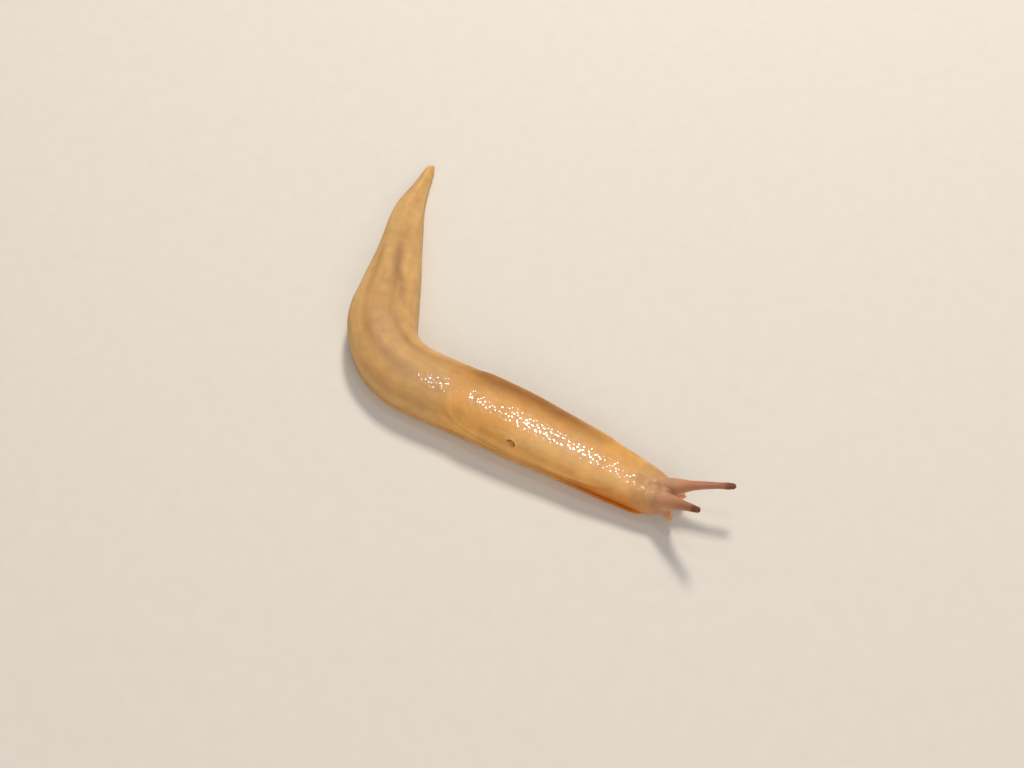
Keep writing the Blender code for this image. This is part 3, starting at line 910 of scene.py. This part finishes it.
up = points[:, 2]
cloud = 0.5 + 0.5 * ripple(*(points / CLOUD_SIZE).T)
wisps = 0.5 + 0.5 * ripple(s / WISP_LENGTH, round_body / WISP_WIDTH, 11.0)
fore = rise(s, 46.0, 10.0)
# low_light and amber place an orange painted glow low on the front flank, standing in for light shining
# through the flesh
low_light = 1.0 - smoothstep((up - 0.5 - 0.6 * fore) / (0.9 + 1.5 * fore))
amber = np.maximum(0.3 * rise(s, 24.0, 8.0), fore) * (1.0 - 0.45 * rise(s, 59.0, 2.5))
# far side of the mantle darker brown: partly dark flesh seen through, partly painted shade
far_side = rise(phi, -2.0, 45.0) * (1.0 - 0.7 * rise(phi, 52.0, 34.0))
foot_rim = 1.0 - smoothstep((up - 0.1 - 0.15 * (1.0 - fore)) / 0.6)
marks = {
    "mantle": rise(s, 34.5, 5.0) * (1.0 - rise(s, 57.0, 3.0)),
    "band": (streak(OUTER_BAND, 9.0, 6.0) + 0.9 * streak(INNER_BAND, 8.0, 5.0)) * (0.55 + 0.6 * wisps),
    "dusk": streak(DUSK_PATCH, 9.0, 4.0) * (0.4 + 0.8 * cloud),
    "wisp": rise(wisps, 0.35, 0.4) * (1.0 - on_head) * (1.0 - 0.8 * on_mantle),
    "umber_and_painted_shade": rise(s, 34.0, 6.0) * (1.0 - rise(s, 48.0, 10.0)) * far_side * (0.9 + 0.15 * cloud),
    # paler patch painted as light on the near side of the mantle, where light shines through
    "painted_light_near_side": hump(phi, -32.0, 28.0) * rise(s, 43.0, 5.0) * (1.0 - rise(s, 57.0, 3.0)),
    # orange painted glow: light shining through the low front flank, stronger on the near side
    "painted_glow": low_light * amber * (1.0 - 0.4 * rise(across, -2.0, 4.0)) * on_body,
    # dark line painted as shade in the furrow and in the groove outside the mantle's rim
    "line": np.maximum(0.4 * hump(inside, -0.12, 0.2) * low_side, low * fore) * on_body,
    "fringe": foot_rim * (1.0 - 0.8 * fore) * on_body,
}
print("markings of the body:", ", ".join(marks))

# %% [markdown]
# ## Head, pore and film
#
# The head and tentacles are grey pink, with dark tips on the eye stalks. In the pore, painted shade
# darkens the hollow and the steep wall under its arch, and its lip is pale. Two more attributes serve
# the film of slime: how wet each place is and how domed the film is. It is thin on the tail, the face
# and the tentacles, and ends above the foot's edge.

# %% Markings of the head, the pore and the film
face = rise(s, 59.0, 3.0) * (1.0 - 0.85 * low_light * (1.0 - rise(s, 60.8, 1.2)))
stalk_tip = 0.45 * rise(along, 0.5, 0.5) + 0.55 * rise(along, 0.86, 0.12)
arch_painted_shade = rise(ring, 0.3, 0.35) * (1.0 - rise(ring, 1.0, 0.12))
wet_back = (0.15 + 0.85 * rise(s, 32.5, 2.0)) * (1.0 - 0.6 * rise(s, 58.6, 1.4))
marks.update({
    "head": np.maximum(face, sure) * np.where(which < 2, 1.0, 1.0 - 0.3 * sure),
    "stalk": sure * rise(along, 0.1, 0.5) * (which < 2),
    # the pore's hollow and the steep wall under its arch are darkened with painted shade
    "pore_painted_shade": (1.0 - rise(ring, 0.8, 0.25)) * rise(to_arch, -0.8, 0.8),
    "pit": arch_painted_shade * rise(to_arch, -0.1, 0.5),
    "lip": pit_lip * (1.0 - pit),
    "tip": np.where(which < 2, stalk_tip, 0.0) * sure,
    "wet": wet_back * (1.0 - 0.8 * sure) * (0.1 + 0.9 * rise(up, 0.7, 0.8)),
    "domed": (0.15 + 0.4 * rise(s, 30.0, 4.0) + 0.2 * rise(s, 50.0, 6.0)) * (1.0 - 0.6 * sure),
})
print("markings in all:", len(marks))

# %% [markdown]
# ## The finished skin
#
# The mesh is done, so it goes from millimetres to metres, takes its attributes and is shaded smooth.
# "lie" holds s and girth in metres, for patterns that must follow the body.

# %% Finish the skin mesh
FLESH = [name for name in frame["nodes"] if not name.startswith("eye")]

skin_mesh.clear_geometry()
bm.to_mesh(skin_mesh)
bm.free()
skin_mesh.vertices.foreach_set("co", (points * MM).ravel())
for name, values in marks.items():
    layer = skin_mesh.attributes.new(name, "FLOAT", "POINT")
    layer.data.foreach_set("value", np.clip(values, 0.0, 1.0).astype(np.float32))
lie = skin_mesh.attributes.new("lie", "FLOAT_VECTOR", "POINT")
flat_place = np.stack((s, round_body, np.zeros_like(s)), axis=1) * MM
lie.data.foreach_set("vector", flat_place.astype(np.float32).ravel())
skin_mesh.shade_smooth()
skin_mesh.update()
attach(slug, "root")
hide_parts(*FLESH)
print("skin triangles:", sum(len(face.vertices) - 2 for face in skin_mesh.polygons))

# %% [markdown]
# ## The eyes
#
# Each upper tentacle ends in an eye: a small dark bead just under the skin of its tip. It is a piece of
# its own, set so deep that the skin closes round it like a lid, and only its front shows.

# %% Eyes
EYE_RADIUS = 0.26
EYE_FORWARD = 0.2


def make_eye(name, values):
    root, way = tentacle_axis(*values)
    ends = tentacle_middle([0.97, 1.0], root, way, values[2])
    way = (ends[1] - ends[0]) / np.linalg.norm(ends[1] - ends[0])
    made = bmesh.new()
    bmesh.ops.create_uvsphere(made, u_segments=48, v_segments=32, radius=EYE_RADIUS * MM)
    lean = Vector(way).to_track_quat("Z", "Y").to_matrix().to_4x4()
    centre = Matrix.Translation(Vector((ends[1] + way * EYE_FORWARD) * MM))
    bmesh.ops.transform(made, matrix=centre @ lean, verts=made.verts)
    eye = to_object(made, name)
    eye.data.shade_smooth()
    return eye


eyes = []
for side, (name, *values) in zip(("left", "right"), TENTACLES[:2]):
    eye = make_eye("eye_bead_" + side, values)
    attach(eye, "root")
    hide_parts("eye_" + side)
    eyes.append(eye)
    print(eye.name, "points:", len(eye.data.vertices))

# %% [markdown]
# ## Helpers for materials
#
# Colours are picked as sRGB hex values, the way a painter reads them off a screen, and turned to the
# linear values that the renderer counts in. One small function adds a node with its settings and
# links, so that a material reads as a list of what it is made of.

# %% Helpers for materials
def linear(hex_colour):
    parts = [int(hex_colour[i:i + 2], 16) / 255.0 for i in (0, 2, 4)]
    low = [part / 12.92 for part in parts]
    high = [((part + 0.055) / 1.055) ** 2.4 for part in parts]
    return (*[low[i] if parts[i] <= 0.04045 else high[i] for i in range(3)], 1.0)


def add(tree, kind, inputs=None, **settings):
    """One node with its settings, its values and the sockets that feed it."""
    node = tree.nodes.new("ShaderNode" + kind)
    for name, value in settings.items():
        setattr(node, name, value)
    for name, value in (inputs or {}).items():
        if isinstance(value, bpy.types.NodeSocket):
            tree.links.new(value, node.inputs[name])
        else:
            node.inputs[name].default_value = value
    return node


def new_material(name):
    """An empty material and its node tree."""
    made = bpy.data.materials.new(name)
    made.use_nodes = True
    made.node_tree.nodes.clear()
    return made, made.node_tree


print("amber in linear light:", [round(part, 3) for part in linear("CD964B")])

# %% [markdown]
# ## The colour of wet slug skin
#
# The skin is thin, moist and half clear over pale flesh. Its colour starts as one tan and takes up each
# marking in turn, as a painting takes thin glazes. A soft mottle and faint threads along the body keep
# any patch from being one flat colour.

# %% Glazes of colour
MOTTLE_STEP = 1.7 * MM
FIBRE_STEP = 0.3 * MM
SKIN_TAN = "CDA46C"
LAYERS = (
    # attribute, colour, strength
    ("mantle", "DCA65C", 0.85),
    ("wisp", "9A6E48", 0.17),
    ("band", "8C6036", 0.42),
    ("dusk", "7C5A4E", 0.5),
    # darker far side of the mantle: partly dark flesh seen through, partly painted shade
    ("umber_and_painted_shade", "8E5C2E", 0.9),
    # painted light: paler near side of the mantle
    ("painted_light_near_side", "E6C088", 0.6),
    # orange painted glow of light shining through the low front flank
    ("painted_glow", "C0660A", 0.95),
    ("fringe", "C99A62", 0.6),
    # painted shade in the furrow and the groove outside the mantle's rim
    ("line", "8A3E08", 0.5),
    ("head", "B68A6E", 0.85),
    ("stalk", "8C5C4C", 0.4),
    ("lip", "E2B478", 0.2),
    # painted shade in the pore's hollow and along its steep upper wall
    ("pore_painted_shade", "9C6A30", 0.3),
    ("pit", "4C2A06", 0.95),
    ("tip", "5C3826", 0.85),
)

wet_skin, tree = new_material("wet_slug_skin")
place_of = add(tree, "TexCoord").outputs["Object"]
lie_of = add(tree, "Attribute", attribute_name="lie").outputs["Vector"]
colour = linear(SKIN_TAN)
for name, tint, strength in LAYERS:
    share = add(tree, "Attribute", attribute_name=name).outputs["Fac"]
    amount = add(tree, "Math", {0: share, 1: strength}, operation="MULTIPLY").outputs[0]
    colour = add(tree, "Mix", {0: amount, 6: colour, 7: linear(tint)}, data_type="RGBA").outputs[2]

along_body = add(tree, "Mapping", {"Vector": lie_of, "Scale": (0.12, 1.0, 1.0)}).outputs["Vector"]
mottle = {"Vector": place_of, "Scale": 1.0 / MOTTLE_STEP, "Detail": 4.0}
mottle = add(tree, "TexNoise", mottle).outputs["Fac"]
fibres = {"Vector": along_body, "Scale": 1.0 / FIBRE_STEP, "Detail": 3.0}
fibres = add(tree, "TexNoise", fibres).outputs["Fac"]
span = {"From Min": 0.3, "From Max": 0.7}
patchy = add(tree, "MapRange", {"Value": mottle, **span, "To Min": 0.9, "To Max": 1.1}).outputs["Result"]
threads = add(tree, "MapRange", {"Value": fibres, **span, "To Min": 0.97, "To Max": 1.03}).outputs["Result"]
shade = add(tree, "Math", {0: patchy, 1: threads}, operation="MULTIPLY").outputs[0]
colour = add(tree, "VectorMath", {0: colour, "Scale": shade}, operation="SCALE").outputs["Vector"]
print("glazes:", len(LAYERS))

# %% [markdown]
# ## Grain of the skin
#
# Close to, the skin is paved with granules and crossed by fine threads, and the foot's rim is notched.
# They are too fine to carve, so a chain of bump nodes stands in for them. The finest are drawn
# 0.09 mm apart, coarser than the real ones, so that they show.

# %% Grain and granules
GRAIN_STEP = 0.09 * MM
GRAIN_HEIGHT = 0.0012 * MM
FIBRE_HEIGHT = 0.0025 * MM
PAVE_STEP = 0.4 * MM
PAVE_HEIGHT = 0.012 * MM
FACE_STEP = 0.21 * MM
FACE_HEIGHT = 0.012 * MM
NOTCH_UNIT = 0.8 * MM  # a wave node draws 20 / tau waves to its unit, so notches are 0.25 mm apart
NOTCH_HEIGHT = 0.01 * MM

grain = add(tree, "TexNoise", {"Vector": place_of, "Scale": 1.0 / GRAIN_STEP}).outputs["Fac"]
pave_way = add(tree, "Mapping", {"Vector": lie_of, "Scale": (0.45, 1.0, 1.0)}).outputs["Vector"]
paved = add(tree, "TexVoronoi", {"Vector": pave_way, "Scale": 1.0 / PAVE_STEP}).outputs["Distance"]
granules = add(tree, "TexVoronoi", {"Vector": place_of, "Scale": 1.0 / FACE_STEP}).outputs["Distance"]
head_share = add(tree, "Attribute", attribute_name="head").outputs["Fac"]
fringe_way = add(tree, "Mapping", {"Vector": lie_of, "Scale": (1.0, 0.0, 0.0)}).outputs["Vector"]
waves = {"Vector": fringe_way, "Scale": 1.0 / NOTCH_UNIT, "Distortion": 1.5}
notches = add(tree, "TexWave", waves).outputs["Fac"]
fringe_share = add(tree, "Attribute", attribute_name="fringe").outputs["Fac"]
bump = add(tree, "Bump", {"Height": grain, "Distance": GRAIN_HEIGHT}).outputs["Normal"]
for height, distance, strength, inward in (
    (fibres, FIBRE_HEIGHT, 1.0, False),
    (paved, PAVE_HEIGHT, 1.0, True),
    (granules, FACE_HEIGHT, head_share, True),
    (notches, NOTCH_HEIGHT, fringe_share, False),
):
    values = {"Height": height, "Distance": distance, "Strength": strength, "Normal": bump}
    bump = add(tree, "Bump", values, invert=inward).outputs["Normal"]
print("granules of the face:", FACE_STEP / MM, "mm apart")

# %% [markdown]
# ## The film of slime
#
# Over the skin lies slime, a clear coat of about water's index. It hugs tiny domes, and each dome
# mirrors a lamp as a spark. The coat is left off the creases between domes, because a crease mirrors
# the lamp too and joins the sparks into worms. It also fades where the skin turns away from the eye,
# since steep bumps show there as dark dashes. The domes are as far apart as the real back's sparks.

# %% Wet film
DOME_STEP = 0.43 * MM
DOME_HEIGHT = 0.13 * MM
POOL_STEP = 1.6 * MM
POOL_HEIGHT = 0.05 * MM
DOME_EDGE = (0.26, 0.36)
TURNED_AWAY = (0.5, 0.8)

from_top = add(tree, "TexVoronoi", {"Vector": lie_of, "Scale": 1.0 / DOME_STEP, "Randomness": 0.85},
               voronoi_dimensions="2D").outputs["Distance"]
domes = add(tree, "Math", {0: from_top, 1: 2.0}, operation="POWER").outputs[0]
domed = add(tree, "Attribute", attribute_name="domed").outputs["Fac"]
pools = add(tree, "TexNoise", {"Vector": place_of, "Scale": 1.0 / POOL_STEP, "Detail": 1.0}).outputs["Fac"]
film = add(tree, "Bump", {"Height": pools, "Distance": POOL_HEIGHT}).outputs["Normal"]
film = add(tree, "Bump", {"Height": domes, "Strength": domed, "Distance": DOME_HEIGHT, "Normal": film},
           invert=True).outputs["Normal"]
slant = add(tree, "LayerWeight", {"Blend": 0.5}).outputs["Facing"]
wetness = add(tree, "Attribute", attribute_name="wet").outputs["Fac"]
for value, (full, none) in ((from_top, DOME_EDGE), (slant, TURNED_AWAY)):
    limits = {"From Min": full, "From Max": none, "To Min": 1.0, "To Max": 0.0}
    share = add(tree, "MapRange", {"Value": value, **limits}).outputs["Result"]
    wetness = add(tree, "Math", {0: wetness, 1: share}, operation="MULTIPLY").outputs[0]
print("domes of the film:", DOME_STEP / MM, "mm apart")

# %% [markdown]
# ## Light in the skin
#
# Light sinks about a millimetre into the flesh and comes out warmer, so thin edges glow orange. That
# is subsurface scattering, with red travelling furthest. Under the film the skin itself is almost matt.

# %% The skin's shader
SCATTER = 1.5 * MM

shader = add(tree, "BsdfPrincipled", {
    "Base Color": colour,
    "Roughness": 0.46,
    "IOR": 1.38,
    "Specular IOR Level": 0.12,
    "Normal": bump,
    "Subsurface Weight": 0.85,
    "Subsurface Radius": (1.0, 0.5, 0.22),
    "Subsurface Scale": SCATTER,
    "Coat Weight": wetness,
    "Coat Roughness": 0.12,
    "Coat IOR": 1.33,
    "Coat Normal": film,
})
add(tree, "OutputMaterial", {"Surface": shader.outputs["BSDF"]})
slug.data.materials.append(wet_skin)
print("nodes in the skin:", len(tree.nodes))

# %% [markdown]
# ## Eye and floor
#
# The eye is a bead of dark pigment, glossy because clear skin covers it. The floor is pale, matt card
# with a faint fleck.

# %% Eye and floor materials
def flecked(name, step, first, second, values):
    """A material whose colour wanders between two shades."""
    made, tree = new_material(name)
    place_of = add(tree, "TexCoord").outputs["Object"]
    fleck = add(tree, "TexNoise", {"Vector": place_of, "Scale": 1.0 / step}).outputs["Fac"]
    tone = add(tree, "Mix", {0: fleck, 6: linear(first), 7: linear(second)}, data_type="RGBA").outputs[2]
    shader = add(tree, "BsdfPrincipled", {"Base Color": tone, **values})
    add(tree, "OutputMaterial", {"Surface": shader.outputs["BSDF"]})
    return made


GLOSSY = {"Roughness": 0.3, "Coat Weight": 0.6, "Coat Roughness": 0.08, "Coat IOR": 1.33}
eye_dark = flecked("dark_eye", 0.15 * MM, "2A1A12", "40291C", GLOSSY)
card = flecked("pale_card", 2.0 * MM, "D8D3CA", "DED9D0", {"Roughness": 0.85})
for eye in eyes:
    eye.data.materials.append(eye_dark)
floor.data.materials.append(card)
print("materials:", [made.name for made in (wet_skin, eye_dark, card)])

# %% [markdown]
# ## Lamps and sky
#
# The lamps copy open sunlight, softened as a studio would: a key lamp from the far side that throws a
# short shadow towards us, a wide weak fill and a dim sky. Two small lamps nearly overhead are seen only
# by glosses: the domes of the wet back mirror one as a string of sparks, and the front of the body,
# which slopes forward, mirrors the other.

# %% Lamps and sky
LAMPS = (
    # name, direction, distance and size in metres, power, colour
    ("key", (-0.2, 0.62, 0.78), 0.4, 0.07, 1.2, "FFF7EA"),
    ("spark", (-0.14, 0.25, 0.96), 0.4, 0.025, 1.6, "E8EFFF"),
    ("front_spark", (0.03, 0.24, 0.97), 0.4, 0.025, 1.6, "E8EFFF"),
    ("fill", (0.5, -0.75, 0.6), 0.5, 0.4, 1.05, "FFF0DE"),
)
for name, way, distance, size, power, tint in LAMPS:
    data = bpy.data.lights.new(name, "AREA")
    data.size = size
    data.energy = power
    data.color = linear(tint)[:3]
    lamp = bpy.data.objects.new(name, data)
    scene.collection.objects.link(lamp)
    towards = Vector(way).normalized()
    lamp.location = LOOK_AT + towards * distance
    lamp.rotation_euler = towards.to_track_quat("Z", "Y").to_euler()
    lamp.visible_glossy = name != "key"
    lamp.visible_diffuse = not name.endswith("spark")

scene.world = bpy.data.worlds.new("sky")
scene.world.use_nodes = True
sky = scene.world.node_tree.nodes["Background"]
sky.inputs["Color"].default_value = linear("F1F3F7")
sky.inputs["Strength"].default_value = 0.36
scene.view_settings.view_transform = "Standard"
print("lamps:", [row[0] for row in LAMPS])
